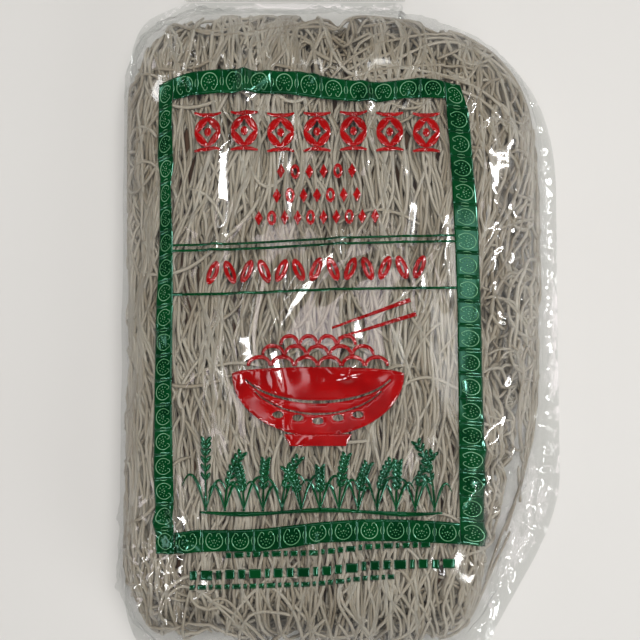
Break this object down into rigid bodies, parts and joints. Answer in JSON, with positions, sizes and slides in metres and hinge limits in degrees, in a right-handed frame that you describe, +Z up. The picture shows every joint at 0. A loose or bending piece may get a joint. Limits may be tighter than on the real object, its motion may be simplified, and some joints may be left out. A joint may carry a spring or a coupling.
{
  "type": "bag of dried rice vermicelli",
  "caption": "Sealed clear film bag round a combed block of dried rice vermicelli, lying flat with its printed side up; shelf, kitchen and grocery scenes.",
  "frame": {"origin": "middle of the pack's bounding box at the face it rests on", "axes": "+X across the pack, to the right of its printed side; +Y along it, to its top end; +Z up, out of the printed side"},
  "size_m": [0.1509, 0.25, 0.042],
  "materials": {
    "film": "clear, glossy, crinkled film over pale noodles",
    "noodles": "dried rice noodle, off-white, slightly translucent, satin",
    "green_ink": "green ink printed on the film",
    "red_ink": "red ink printed on the film"
  },
  "bodies": {
    "root": {"sealed_bag": "film"}
  },
  "joints": []
}
